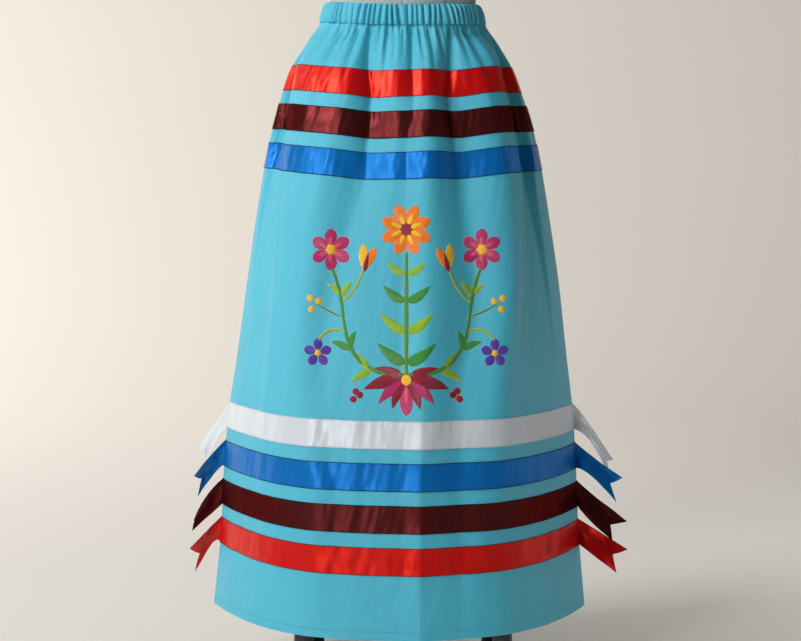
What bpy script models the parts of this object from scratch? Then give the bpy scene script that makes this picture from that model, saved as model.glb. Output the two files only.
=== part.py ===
# Ribbon skirt on a limbless dress form, at its real size: metres, +Z up, the skirt's front towards -Y.
# The skirt is two cotton panels, sewn at the sides and gathered into an elastic waistband. Satin ribbons
# are sewn round it, and the four lower ones end in free tails at the side seams.
# The form is a smooth torso on a pole, with a hub and four bent legs.

from collections import namedtuple
from math import cos, pi, radians, sin

import bmesh
import bpy
import numpy as np
from mathutils import Matrix, Vector

for old in list(bpy.data.objects):
    bpy.data.objects.remove(old, do_unlink=True)

# ---- Driving dimensions ----
CLOTH = 0.0012                  # cotton wall
RIBBON = 0.0010                 # satin ribbon
GAP = 0.0003                    # between pieces that touch
WAIST_TOP = 0.9674              # heights at the middle of the front
WAIST_SEAM = 0.9385
HEM = 0.0945
GATHERS = 32                    # in each panel, at the waistband
SIDE_TILT = 0.0018              # the left side seam hangs this much higher, the right one lower
FOLD_LIFT = 0.3                 # a fold lifts the cloth by this share of its height

UPPER_RIBBON_TOP = 0.8741       # three ribbons over the hips, on a slope
UPPER_RIBBON_HEIGHT = 0.0374
UPPER_RIBBON_PITCH = 0.0566
LOWER_RIBBON_TOP = 0.3940       # four ribbons above the hem
LOWER_RIBBON_HEIGHT = 0.0383
LOWER_RIBBON_PITCH = 0.0576

# One row for each level of the skirt. A point at the share s of the half width lies at the depth
# (1 - |s| ** flat) ** (1 / soft), and the sides stand side_lift higher than the middle of the front.
Section = namedtuple("Section", "level half_width front_depth back_depth centre_x side_lift flat soft")
SECTIONS = (
    Section(0.0945, 0.2721, 0.213, 0.213, -0.0054, 0.0051, 3.20, 1.05),
    Section(0.2000, 0.2619, 0.207, 0.207, -0.0045, 0.0068, 3.15, 1.07),
    Section(0.3000, 0.2570, 0.201, 0.201, -0.0042, 0.0047, 3.10, 1.10),
    Section(0.3940, 0.2491, 0.194, 0.194, -0.0027, 0.0040, 3.00, 1.15),
    Section(0.4600, 0.2398, 0.187, 0.188, -0.0015, 0.0050, 2.90, 1.20),
    Section(0.5600, 0.2268, 0.177, 0.179, 0.0000, 0.0083, 2.80, 1.30),
    Section(0.6600, 0.2115, 0.165, 0.168, 0.0000, 0.0115, 2.65, 1.45),
    Section(0.7235, 0.2005, 0.156, 0.161, 0.0000, 0.0132, 2.55, 1.55),
    Section(0.7609, 0.1930, 0.150, 0.156, 0.0000, 0.0125, 2.50, 1.60),
    Section(0.8000, 0.1830, 0.144, 0.151, 0.0000, 0.0118, 2.50, 1.70),
    Section(0.8366, 0.1715, 0.136, 0.143, -0.0010, 0.0108, 2.45, 1.80),
    Section(0.8741, 0.1576, 0.124, 0.128, -0.0010, 0.0093, 2.40, 1.85),
    Section(0.9100, 0.1360, 0.106, 0.106, 0.0000, 0.0072, 2.35, 1.95),
    Section(0.9385, 0.1169, 0.092, 0.091, 0.0000, 0.0055, 2.30, 2.00),
    Section(0.9686, 0.1088, 0.086, 0.085, 0.0000, 0.0050, 2.30, 2.00),
)

# Folds that run down the cloth. Each has its place, as a share of the half width, and its height in
# millimetres at these levels, and reaches the shares left and right of its ridge. A crease is straight-sided.
FOLD_LEVELS = (0.9385, 0.90, 0.86, 0.77, 0.69, 0.56, 0.394, 0.0945)
Fold = namedtuple("Fold", "panel shape left right at height")
FOLDS = (
    Fold("front", "round", 0.05, 0.17, (-.95, -.90, -.86, -.755, -.745, -.72, -.70, -.68), (0, 4, 9, 12, 10, 4, 2, 2)),
    Fold("front", "round", 0.12, 0.12, (-.50, -.51, -.53, -.57, -.57, -.57, -.57, -.57), (0, 2, 5, 5, 4, 2, 0, 0)),
    Fold("front", "round", 0.08, 0.08, (-.22, -.21, -.21, -.21, -.21, -.21, -.21, -.21), (0, 2, 4, 3, 2, 0, 0, 0)),
    Fold("front", "round", 0.09, 0.09, (-.05, -.05, -.05, -.01, 0, 0, 0, 0), (0, 2, 4, 3, 1, 0, 0, 0)),
    Fold("front", "round", 0.10, 0.10, (.25, .24, .235, .205, .19, .15, .12, .10), (0, 3, 6, 6, 5, 2, 0, 0)),
    Fold("front", "crease", 0.30, 0.30, (.25, .24, .235, .205, .19, .15, .119, .104), (0, 0, 0, 0, 2, 5, 8, 9)),
    Fold("front", "round", 0.11, 0.11, (.55, .56, .575, .53, .54, .54, .50, .50), (0, 3, 6, 6, 5, 2, 0, 0)),
    Fold("front", "round", 0.17, 0.05, (.95, .86, .80, .755, .755, .76, .74, .72), (0, 6, 12, 13, 11, 6, 2, 1)),
    Fold("back", "round", 0.06, 0.16, (-.93, -.88, -.84, -.79, -.77, -.74, -.70, -.66), (0, 5, 9, 10, 8, 5, 3, 2)),
    Fold("back", "round", 0.11, 0.12, (-.60, -.58, -.56, -.53, -.52, -.50, -.50, -.50), (0, 2, 5, 6, 5, 2, 0, 0)),
    Fold("back", "round", 0.10, 0.09, (-.30, -.29, -.28, -.27, -.27, -.27, -.27, -.27), (0, 3, 5, 4, 2, 1, 0, 0)),
    Fold("back", "round", 0.09, 0.10, (.02, .01, 0, -.01, -.02, -.03, -.03, -.03), (0, 2, 4, 4, 3, 1, 0, 0)),
    Fold("back", "crease", 0.32, 0.28, (-.02, -.04, -.06, -.08, -.10, -.12, -.14, -.15), (0, 0, 0, 0, 1, 4, 7, 8)),
    Fold("back", "round", 0.10, 0.10, (.30, .29, .28, .27, .27, .26, .26, .26), (0, 3, 5, 5, 4, 2, 0, 0)),
    Fold("back", "round", 0.12, 0.11, (.57, .57, .56, .55, .55, .54, .54, .54), (0, 2, 5, 5, 4, 2, 0, 0)),
    Fold("back", "round", 0.16, 0.06, (.94, .89, .85, .80, .78, .75, .72, .68), (0, 5, 10, 11, 9, 5, 3, 2)),
)

# Waves that run all round below the waistband: how many in a panel, and their heights in millimetres.
Wave = namedtuple("Wave", "count height")
WAVES = (
    Wave(GATHERS, (1.9, 1.2, 0.2, 0, 0, 0, 0, 0)),
    Wave(14, (0.6, 1.5, 1.0, 0.4, 0, 0, 0, 0)),
)

# Rows of points in a panel: how many columns it has, and its levels.
Zone = namedtuple("Zone", "columns levels")
GATHERED = Zone(96, (WAIST_SEAM - GAP, 0.925, 0.910, 0.894))
FOLDED = Zone(48, (0.685, 0.640))
SMOOTH = Zone(24, (0.580, 0.520, 0.460, 0.140, HEM))

Ribbon = namedtuple("Ribbon", "name top height columns material")
UPPER_RIBBONS = [
    Ribbon(f"upper_{colour}", UPPER_RIBBON_TOP - n * UPPER_RIBBON_PITCH, UPPER_RIBBON_HEIGHT, FOLDED.columns, colour)
    for n, colour in enumerate(("red", "maroon", "blue"))
]
LOWER_RIBBONS = [
    Ribbon(f"lower_{colour}", LOWER_RIBBON_TOP - n * LOWER_RIBBON_PITCH, LOWER_RIBBON_HEIGHT, SMOOTH.columns, colour)
    for n, colour in enumerate(("white", "blue", "maroon", "red"))
]

# The waistband's outer rows: level, how far the casing swells, and the height of its gathers.
BandRow = namedtuple("BandRow", "level swell relief")
BAND_ROWS = (
    BandRow(WAIST_TOP, -0.0004, 0.0009),
    BandRow(0.9540, 0.0014, 0.0013),
    BandRow(WAIST_SEAM, 0.0002, 0.0014),
)
BAND_COLUMNS = 2 * 3 * GATHERS  # all round
BAND_WALL = 0.0024

# Free ribbon ends, in millimetres from the top of their root: outwards and down to the middle and the
# tip of the upper edge, to the notch, and to the tip and the middle of the lower edge. The last two
# columns are how far back (+Y) the upper and the lower tip stand.
Tail = namedtuple("Tail", "side ribbon upper_middle upper_tip notch lower_tip lower_middle upper_back lower_back")
TAILS = (
    Tail("left", 0, (23, 34), (53, 77), (41, 80), (45, 108), (18, 57), 55, 77),
    Tail("left", 1, (24, 26), (50, 60), (38, 64), (43, 90), (18, 53), 45, 28),
    Tail("left", 2, (25, 28), (44, 66), (41, 67), (47, 83), (20, 58), 50, 20),
    Tail("left", 3, (24, 25), (50, 57), (35, 64), (41, 89), (18, 47), 50, 34),
    Tail("right", 0, (26, 31), (58, 81), (50, 84), (53, 102), (28, 57), 0, 30),
    Tail("right", 1, (31, 24), (63, 46), (49, 55), (56, 82), (24, 48), -45, -28),
    Tail("right", 2, (32, 27), (69, 56), (48, 63), (50, 84), (19, 57), -30, -12),
    Tail("right", 3, (32, 18), (66, 37), (47, 49), (49, 72), (20, 50), -55, -50),
)
TAIL_STATIONS = (0.0, 0.3, 0.6)   # shares of the length, before the notched end
MM = 0.001

# The torso: height, half width, half depth, and how far its middle stands forward.
Ring = namedtuple("Ring", "height half_width half_depth forward")
TORSO_RINGS = (
    Ring(0.690, 0.128, 0.090, 0.000),
    Ring(0.697, 0.143, 0.102, 0.000),
    Ring(0.713, 0.153, 0.109, -0.001),
    Ring(0.755, 0.162, 0.115, -0.002),
    Ring(0.800, 0.163, 0.116, -0.003),
    Ring(0.840, 0.154, 0.111, -0.003),
    Ring(0.875, 0.138, 0.101, -0.002),
    Ring(0.910, 0.119, 0.089, 0.000),
    Ring(0.945, 0.104, 0.080, 0.000),
    Ring(0.980, 0.0985, 0.0765, 0.000),
    Ring(1.020, 0.104, 0.081, 0.002),
    Ring(1.080, 0.121, 0.092, 0.006),
    Ring(1.140, 0.138, 0.106, 0.011),
    Ring(1.190, 0.147, 0.113, 0.012),
    Ring(1.240, 0.152, 0.105, 0.009),
    Ring(1.290, 0.161, 0.091, 0.004),
    Ring(1.330, 0.171, 0.078, 0.001),
    Ring(1.358, 0.169, 0.068, 0.000),
    Ring(1.378, 0.148, 0.061, 0.000),
    Ring(1.394, 0.108, 0.056, 0.000),
    Ring(1.410, 0.074, 0.053, 0.001),
    Ring(1.435, 0.057, 0.051, 0.003),
    Ring(1.470, 0.053, 0.050, 0.004),
)
TORSO_COLUMNS = 24
NECK_CAP = dict(radius=0.044, height=0.014, bevel=0.003)

POLE_RADIUS = 0.0125
COLLAR = dict(radius=0.030, height=0.030, bevel=0.003)
HUB = dict(radius=0.036, base=0.112, height=0.060, bevel=0.004)
HUB_SIDES = 32
LEG_RADIUS = 0.014
LEG_REACH = 0.197               # from the pole to the upright end of a leg
LEG_BEND = 0.040                # radius of its bend
LEG_BEND_HEIGHT = 0.080         # where the bend starts
LEG_SLOPE = radians(10)
LEG_BEND_POINTS = 6
LEG_ANGLES = (45, 135, 225, 315)
FOOT = dict(radius=0.019, height=0.020, bevel=0.003)

COLOURS = dict(
    cotton=(0.145, 0.508, 0.610, 1), white=(0.76, 0.78, 0.81, 1), red=(0.70, 0.027, 0.022, 1),
    maroon=(0.075, 0.012, 0.013, 1), blue=(0.012, 0.130, 0.400, 1), linen=(0.50, 0.49, 0.44, 1),
    black=(0.012, 0.012, 0.013, 1), wood=(0.33, 0.19, 0.09, 1),
)
ROUGHNESS = dict(cotton=0.85, white=0.35, red=0.35, maroon=0.35, blue=0.35, linen=0.9, black=0.4, wood=0.45)

collection = bpy.data.collections.new("ribbon_skirt_on_dress_form")
bpy.context.scene.collection.children.link(collection)


def make_material(name):
    material = bpy.data.materials.new(name)
    material.use_nodes = True
    shader = material.node_tree.nodes["Principled BSDF"]
    shader.inputs["Base Color"].default_value = COLOURS[name]
    shader.inputs["Roughness"].default_value = ROUGHNESS[name]
    shader.inputs["Metallic"].default_value = 0
    return material


MATERIALS = {name: make_material(name) for name in COLOURS}


def add_object(name, data, material):
    data.materials.append(MATERIALS[material])
    thing = bpy.data.objects.new(name, data)
    collection.objects.link(thing)
    return thing


def mesh_from(bm, name):
    bmesh.ops.recalc_face_normals(bm, faces=bm.faces)
    mesh = bpy.data.meshes.new(name)
    bm.to_mesh(mesh)
    bm.free()
    return mesh


# ---- The skirt's surface ----

def between_rows(places, values, place):
    """A smooth curve through the rows of a table, read at one place."""
    slopes = np.gradient(values, places)
    n = int(np.clip(np.searchsorted(places, place) - 1, 0, len(places) - 2))
    span = places[n + 1] - places[n]
    t = (place - places[n]) / span
    start = (1 + 2 * t) * (1 - t) ** 2 * values[n] + t * (1 - t) ** 2 * span * slopes[n]
    end = t * t * (3 - 2 * t) * values[n + 1] + t * t * (t - 1) * span * slopes[n + 1]
    return start + end


def section_at(level):
    levels = np.array([row.level for row in SECTIONS])
    table = np.array(SECTIONS)
    return Section(*(between_rows(levels, table[:, column], level) for column in range(table.shape[1])))


def at_fold_level(values, level):
    return np.interp(level, FOLD_LEVELS[::-1], values[::-1])


def relief(panel, level, share, along):
    """How far the cloth stands out and is lifted, at shares of the half width and of the row's length."""
    out = np.zeros_like(share)
    lift = np.zeros_like(share)
    for fold in FOLDS:
        if fold.panel != panel:
            continue
        across = share - at_fold_level(fold.at, level)
        away = np.clip(np.abs(across / np.where(across < 0, fold.left, fold.right)), 0, 1)
        height = at_fold_level(fold.height, level) * MM
        if fold.shape == "crease":
            out += height * (1 - away)
        else:
            out += height * (0.5 + 0.5 * np.cos(pi * away))
            lift += FOLD_LIFT * height * (0.5 + 0.5 * np.cos(pi * away))
    uneven = 1 + 0.25 * np.sin(2 * pi * 5 * along) + 0.15 * np.sin(2 * pi * 11 * along)
    for wave in WAVES:
        out += at_fold_level(wave.height, level) * MM * uneven * np.cos(2 * pi * wave.count * along)
    return out, lift


def base_row(panel, level, columns):
    """Evenly spaced points of a panel's plain section, from the left seam to the right."""
    section = section_at(level)
    share = np.sin(np.linspace(-pi / 2, pi / 2, 721))
    depth = (1 - np.abs(share) ** section.flat) ** (1 / section.soft)
    forward = -section.front_depth if panel == "front" else section.back_depth
    x = section.centre_x + section.half_width * share
    y = forward * depth
    length = np.concatenate(([0], np.cumsum(np.hypot(np.diff(x), np.diff(y)))))
    along = np.linspace(0, 1, columns + 1)
    share = np.interp(along * length[-1], length, share)
    x, y = (np.interp(along * length[-1], length, values) for values in (x, y))
    z = level + section.side_lift * share ** 2 - SIDE_TILT * share * np.abs(share)
    return np.column_stack((x, y, z)), share, along


def outward(points, panel):
    """Directions out of a row, level, and longer at a corner so that a wall keeps its thickness."""
    steps = np.diff(points[:, :2], axis=0)
    steps /= np.linalg.norm(steps, axis=1)[:, None]
    turn = 1 if panel == "front" else -1
    faces = turn * np.column_stack((steps[:, 1], -steps[:, 0]))
    corners = faces[:-1] + faces[1:]
    corners /= np.linalg.norm(corners, axis=1)[:, None]
    stretch = np.clip(1 / np.sum(corners * faces[1:], axis=1), 1, 1.5)
    normals = np.zeros_like(points)
    normals[1:-1, :2] = corners * stretch[:, None]
    normals[0] = (-1, 0, 0)         # at a side seam the wall stays on its own side
    normals[-1] = (1, 0, 0)
    return normals


def panel_row(panel, level, columns):
    """Points of the cloth's outer face at one level, and the directions out of it."""
    points, share, along = base_row(panel, level, columns)
    out, lift = relief(panel, level, share, along)
    points = points + outward(points, panel) * out[:, None]
    points[:, 1] += -GAP / 2 if panel == "front" else GAP / 2
    points[:, 2] += lift
    return points, outward(points, panel)


# ---- Walls ----

def add_row(bm, points):
    return [bm.verts.new(point) for point in points]


def stitch(bm, first, second, closed=False):
    """Triangles between two rows, which have as many columns, or one twice as many as the other."""
    if len(first) < len(second):
        first, second = second, first
    if closed:
        first, second = first + first[:1], second + second[:1]
    if len(first) == len(second):
        for n in range(len(first) - 1):
            bm.faces.new((first[n], second[n], second[n + 1]))
            bm.faces.new((first[n], second[n + 1], first[n + 1]))
        return
    for n in range(len(second) - 1):
        bm.faces.new((first[2 * n], second[n], first[2 * n + 1]))
        bm.faces.new((first[2 * n + 1], second[n], second[n + 1]))
        bm.faces.new((first[2 * n + 1], second[n + 1], first[2 * n + 2]))


def wall_mesh(name, rows, inside, outside):
    """A closed wall over rows of (points, directions), from inside to outside of them."""
    bm = bmesh.new()
    inner = [add_row(bm, points + inside * out) for points, out in rows]
    outer = [add_row(bm, points + outside * out) for points, out in rows]
    for face in (inner, outer):
        for upper, lower in zip(face, face[1:]):
            stitch(bm, upper, lower)
    stitch(bm, inner[0], outer[0])
    stitch(bm, inner[-1], outer[-1])
    for end in (0, -1):
        stitch(bm, [row[end] for row in inner], [row[end] for row in outer])
    return mesh_from(bm, name)


def panel_rows(panel):
    ribbon_edges = [[edge for ribbon in ribbons for edge in (ribbon.top, ribbon.top - ribbon.height)]
                    for ribbons in (UPPER_RIBBONS, LOWER_RIBBONS)]
    rows = [(GATHERED.columns, level) for level in GATHERED.levels]
    rows += [(FOLDED.columns, level) for level in sorted(ribbon_edges[0] + list(FOLDED.levels), reverse=True)]
    rows += [(SMOOTH.columns, level) for level in sorted(ribbon_edges[1] + list(SMOOTH.levels), reverse=True)]
    return [panel_row(panel, level, columns) for columns, level in rows]


def add_panels():
    for panel in ("front", "back"):
        mesh = wall_mesh(f"{panel}_panel", panel_rows(panel), -CLOTH, 0)
        add_object(f"{panel}_panel", mesh, "cotton")


def add_ribbons():
    for panel in ("front", "back"):
        for ribbon in UPPER_RIBBONS + LOWER_RIBBONS:
            edges = (ribbon.top, ribbon.top - ribbon.height)
            rows = [panel_row(panel, level, ribbon.columns) for level in edges]
            name = f"{panel}_ribbon_{ribbon.name}"
            add_object(name, wall_mesh(name, rows, GAP, GAP + RIBBON), ribbon.material)


def ring_row(level, columns, swell, gather):
    """A closed row round the waist, counted from the left seam along the front and back again."""
    halves = []
    for panel in ("front", "back"):
        points, _, along = base_row(panel, level, columns // 2)
        out = swell + gather * np.cos(2 * pi * GATHERS * along)
        halves.append((points + outward(points, panel) * out[:, None])[:-1 if panel == "front" else None])
    front, back = halves
    return np.concatenate((front, back[:0:-1]))


def add_waistband():
    bm = bmesh.new()
    outer = [add_row(bm, ring_row(row.level, BAND_COLUMNS, row.swell, row.relief)) for row in BAND_ROWS]
    ends = (WAIST_TOP, WAIST_SEAM)
    inner = [add_row(bm, ring_row(level, BAND_COLUMNS // 2, -BAND_WALL, 0)) for level in ends]
    for upper, lower in zip(outer, outer[1:]):
        stitch(bm, upper, lower, closed=True)
    stitch(bm, inner[0], inner[1], closed=True)
    stitch(bm, outer[0], inner[0], closed=True)
    stitch(bm, outer[-1], inner[1], closed=True)
    add_object("waistband", mesh_from(bm, "waistband"), "cotton")


# ---- Ribbon tails ----

def through(first, middle, last, t):
    """A parabola through three points, reached at 0, a half and 1."""
    return (2 * t * t - 3 * t + 1) * first + (4 * t - 4 * t * t) * middle + (2 * t * t - t) * last


def tail_rows(tail):
    ribbon = LOWER_RIBBONS[tail.ribbon]
    turn, end = (-1, 0) if tail.side == "left" else (1, -1)
    clear = GAP + RIBBON + GAP          # past the ribbons that meet at the seam
    top, bottom = (base_row("front", level, SMOOTH.columns)[0][end] + Vector((turn * clear, 0, 0))
                   for level in (ribbon.top, ribbon.top - ribbon.height))

    def place(outward_down, back):
        return top + MM * np.array((turn * outward_down[0], back, -outward_down[1]))

    upper = (top, place(tail.upper_middle, 0.35 * tail.upper_back), place(tail.upper_tip, tail.upper_back))
    lower = (bottom, place(tail.lower_middle, 0.35 * tail.lower_back), place(tail.lower_tip, tail.lower_back))
    rows = []
    for station in TAIL_STATIONS:
        high, low = through(*upper, station), through(*lower, station)
        rows.append(np.array((high, (high + low) / 2, low)))
    notch = place(tail.notch, 0.4 * (tail.upper_back + tail.lower_back))
    rows.append(np.array((upper[2], notch, lower[2])))
    return rows


def with_directions(rows):
    """The directions across a strip of cloth, level at its root."""
    done = []
    for n, row in enumerate(rows):
        lengthwise = rows[min(n + 1, len(rows) - 1)] - rows[max(n - 1, 0)]
        across = np.gradient(row, axis=0)
        out = np.cross(lengthwise, across)
        out /= np.linalg.norm(out, axis=1)[:, None]
        done.append((row, out))
    root = np.tile(np.sign(done[0][1][1, 1]) * np.array((0.0, 1.0, 0.0)), (len(rows[0]), 1))
    done[0] = (rows[0], root)
    return done


def add_tails():
    for tail in TAILS:
        ribbon = LOWER_RIBBONS[tail.ribbon]
        name = f"{tail.side}_tail_{ribbon.material}"
        rows = with_directions(tail_rows(tail))
        add_object(name, wall_mesh(name, rows, -RIBBON / 2, RIBBON / 2), ribbon.material)


# ---- The dress form ----

def add_torso():
    bm = bmesh.new()
    rows = []
    for ring in TORSO_RINGS:
        turns = [2 * pi * n / TORSO_COLUMNS for n in range(TORSO_COLUMNS)]
        rows.append(add_row(bm, [
            (ring.half_width * cos(turn), ring.half_depth * sin(turn) - ring.forward, ring.height)
            for turn in turns
        ]))
    for lower, upper in zip(rows, rows[1:]):
        stitch(bm, lower, upper, closed=True)
    bm.faces.new(rows[0])
    bm.faces.new(rows[-1])
    mesh = mesh_from(bm, "torso")
    mesh.shade_smooth()
    add_object("torso", mesh, "linen")


def add_turned(name, material, base, radius, height, bevel, sides=HUB_SIDES, centre=(0, 0)):
    """An upright round piece whose flats face the legs, with bevelled rims."""
    bm = bmesh.new()
    bmesh.ops.create_cone(
        bm, cap_ends=True, segments=sides, radius1=radius, radius2=radius, depth=height,
        matrix=Matrix.Translation((*centre, base + height / 2)) @ Matrix.Rotation(pi / sides, 4, "Z"))
    rims = [edge for edge in bm.edges if abs(edge.verts[0].co.z - edge.verts[1].co.z) < height / 2]
    if bevel:
        bmesh.ops.bevel(bm, geom=rims, offset=bevel, segments=1, profile=0.5, affect="EDGES", material=-1)
    add_object(name, mesh_from(bm, name), material)


def leg_route():
    """Distances from the pole and heights: out of the hub, down a gentle slope, round the bend to the foot."""
    start = HUB["radius"] * cos(pi / HUB_SIDES) + GAP
    bend = [(LEG_REACH - LEG_BEND + LEG_BEND * cos(turn), LEG_BEND_HEIGHT + LEG_BEND * sin(turn))
            for turn in np.linspace(pi / 2 - LEG_SLOPE, 0, LEG_BEND_POINTS)]
    reach, height = bend[0]
    neck = start + LEG_RADIUS
    neck_height = height + (reach - neck) * sin(LEG_SLOPE) / cos(LEG_SLOPE)
    return [(start, neck_height), (neck, neck_height)] + bend + [(LEG_REACH, FOOT["height"] + GAP)]


def add_legs():
    for number, degrees in enumerate(LEG_ANGLES, start=1):
        towards = Vector((cos(radians(degrees)), sin(radians(degrees)), 0))
        curve = bpy.data.curves.new(f"leg_{number}", "CURVE")
        curve.dimensions = "3D"
        curve.bevel_depth = LEG_RADIUS
        curve.bevel_resolution = 2
        curve.use_fill_caps = True
        spline = curve.splines.new("POLY")
        route = leg_route()
        spline.points.add(len(route) - 1)
        for point, (reach, height) in zip(spline.points, route):
            point.co = (*(towards * reach).xy, height, 1)
        add_object(f"leg_{number}", curve, "black")
        foot_centre = (towards * LEG_REACH).xy
        add_turned(f"foot_{number}", "black", 0, **FOOT, sides=16, centre=foot_centre)


def add_stand():
    hub_top = HUB["base"] + HUB["height"]
    torso_base = TORSO_RINGS[0].height
    collar_base = torso_base - GAP - COLLAR["height"]
    add_turned("hub", "black", **HUB)
    add_turned("pole", "black", hub_top + GAP, POLE_RADIUS, collar_base - hub_top - 2 * GAP, 0, sides=16)
    add_turned("collar", "black", collar_base, **COLLAR)
    add_turned("neck_cap", "wood", TORSO_RINGS[-1].height + GAP, **NECK_CAP)
    add_legs()


add_waistband()
add_panels()
add_ribbons()
add_tails()
add_torso()
add_stand()
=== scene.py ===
# The look of a ribbon skirt on a dress form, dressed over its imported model.
# Metres, +Z up, the front of the skirt towards -Y. Colours are linear.

from math import cos, pi, radians, sin, tan

import bmesh
import bpy
import numpy as np
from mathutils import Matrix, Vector


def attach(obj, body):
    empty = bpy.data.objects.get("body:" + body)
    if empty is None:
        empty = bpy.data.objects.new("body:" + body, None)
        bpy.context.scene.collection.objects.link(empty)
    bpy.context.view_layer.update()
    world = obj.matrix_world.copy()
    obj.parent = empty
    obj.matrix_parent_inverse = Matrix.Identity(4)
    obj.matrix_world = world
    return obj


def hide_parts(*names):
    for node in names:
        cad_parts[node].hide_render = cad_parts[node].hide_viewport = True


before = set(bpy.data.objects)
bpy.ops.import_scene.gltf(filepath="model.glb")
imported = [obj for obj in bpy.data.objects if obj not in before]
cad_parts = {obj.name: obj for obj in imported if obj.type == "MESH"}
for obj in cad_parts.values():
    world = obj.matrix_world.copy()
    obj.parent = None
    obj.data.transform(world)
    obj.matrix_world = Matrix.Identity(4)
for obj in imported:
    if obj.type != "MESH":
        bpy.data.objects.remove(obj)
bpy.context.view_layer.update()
scene = bpy.context.scene
mm = 0.001

cameraSetup = dict(place=(-0.0036, -3.105, 0.7638), pitch=-4.549, lens=96.31, sensor=36)

def addCamera():
    data = bpy.data.cameras.new("camera")
    data.lens, data.sensor_width = cameraSetup["lens"], cameraSetup["sensor"]
    data.sensor_fit = "HORIZONTAL"
    camera = bpy.data.objects.new("camera", data)
    camera.location = cameraSetup["place"]
    camera.rotation_euler = (radians(90 + cameraSetup["pitch"]), 0, 0)
    scene.collection.objects.link(camera)
    scene.camera = camera

addCamera()
print("camera ready")

class Signal:
    # a node's output, which Python's operators turn into Math nodes
    def __init__(self, finish, socket):
        self.finish, self.socket = finish, socket

    def maths(self, operation, *values):
        return self.finish.node("ShaderNodeMath", {"operation": operation}, dict(enumerate(values)))

    def __add__(self, other): return self.maths("ADD", self, other)
    def __radd__(self, other): return self.maths("ADD", other, self)
    def __sub__(self, other): return self.maths("SUBTRACT", self, other)
    def __rsub__(self, other): return self.maths("SUBTRACT", other, self)
    def __mul__(self, other): return self.maths("MULTIPLY", self, other)
    def __rmul__(self, other): return self.maths("MULTIPLY", other, self)
    def sine(self): return self.maths("SINE", self)
    def absolute(self): return self.maths("ABSOLUTE", self)

class Finish:
    # a material, its Principled shader and the nodes that vary it
    def __init__(self, name, colour, roughness, **fixed):
        self.material = bpy.data.materials.new(name)
        self.material.use_nodes = True
        self.tree = self.material.node_tree
        self.shader = self.tree.nodes["Principled BSDF"]
        self.colour = (*colour, 1)
        self.set("Base Color", self.colour)
        self.set("Roughness", roughness)
        for socket, value in fixed.items():
            self.set(socket.replace("_", " "), value)

    def set(self, socket, value):
        if isinstance(value, Signal):
            self.tree.links.new(value.socket, self.shader.inputs[socket])
        else:
            self.shader.inputs[socket].default_value = value

    def node(self, kind, settings=None, inputs=None, output=0):
        made = self.tree.nodes.new(kind)
        for name, value in (settings or {}).items():
            setattr(made, name, value)
        for name, value in (inputs or {}).items():
            if isinstance(value, Signal):
                self.tree.links.new(value.socket, made.inputs[name])
            else:
                made.inputs[name].default_value = value
        return Signal(self, made.outputs[output])

    def mix(self, share, first, second):
        return self.node("ShaderNodeMix", {"data_type": "RGBA", "clamp_factor": True},
                         {0: share, 6: first, 7: second}, 2)

    def tone(self, shade):
        # the material's colour made lighter or darker by a signal around 1
        scale = self.together(shade, shade, shade)
        return self.node("ShaderNodeVectorMath", {"operation": "MULTIPLY"}, {0: self.colour[:3], 1: scale})

    def clothPlace(self):
        # metres along and down a piece of cloth
        place = self.node("ShaderNodeUVMap", {"uv_map": "cloth"})
        return tuple(self.node("ShaderNodeSeparateXYZ", None, {0: place}, n) for n in (0, 1))

    def objectPlace(self):
        return self.node("ShaderNodeTexCoord", None, None, 3)

    def together(self, *parts):
        return self.node("ShaderNodeCombineXYZ", None, dict(enumerate(parts)))

    def noise(self, place, scale=1, detail=2, rough=0.5):
        # runs from 0 to 1 and stays near a half
        return self.node("ShaderNodeTexNoise", None,
                         {"Vector": place, "Scale": scale, "Detail": detail, "Roughness": rough})

    def streaks(self, along, down, detail=2, rough=0.5):
        # noise drawn out along a cloth's threads
        return self.noise(self.together(along, down), 1, detail, rough)

    def between(self, value, low, high):
        # 0 below low, 1 above high, smooth between them
        return self.node("ShaderNodeMapRange", {"interpolation_type": "SMOOTHSTEP"},
                         {"Value": value, "From Min": low, "From Max": high})

    def bump(self, height, strength, distance, normal=None):
        inputs = {"Strength": strength, "Distance": distance, "Height": height}
        if normal:
            inputs["Normal"] = normal
        return self.node("ShaderNodeBump", None, inputs)

def woven(finish, look):
    # a plain weave: its crossings, its thick and thin threads, and large clouds of shade
    along, down = finish.clothPlace()
    turns = 2 * pi / look["thread"]
    weave = (along * turns).sine() * (down * turns).sine()
    warp, weft = (finish.streaks(along * fine, down * long, 3)
                  for fine, long in (look["warp"], look["weft"]))
    cloud = finish.noise(finish.objectPlace(), *look["cloudGrain"])
    return along, down, weave, warp + weft - 1, cloud

cottonLook = dict(
    colour=(0.036, 0.428, 0.590), roughness=0.56, threadGloss=0.12,
    thread=0.00055, warp=(900, 45), weft=(45, 900), slub=0.16, cloud=0.16, cloudGrain=(7, 4),
    crumple=(26, 14), crumpleBump=(0.35, 0.0022), crossings=0.5, threads=1.2, weaveBump=(0.35, 0.00035),
    fixed=dict(Specular_IOR_Level=0.80, Sheen_Weight=0.12, Sheen_Roughness=0.40,
               Sheen_Tint=(1, 0.95, 0.92, 1)),
)

def cottonFinish():
    look = cottonLook
    finish = Finish("cotton", look["colour"], look["roughness"], **look["fixed"])
    along, down, weave, threads, cloud = woven(finish, look)
    finish.set("Base Color", finish.tone(1 + threads * look["slub"] + (cloud - 0.5) * look["cloud"]))
    finish.set("Roughness", look["roughness"] + threads * look["threadGloss"])
    crumple = finish.streaks(along * look["crumple"][0], down * look["crumple"][1], 4, 0.55)
    soft = finish.bump(crumple, *look["crumpleBump"])
    height = weave * look["crossings"] + threads * look["threads"]
    finish.set("Normal", finish.bump(height, *look["weaveBump"], soft))
    return finish.material

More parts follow.
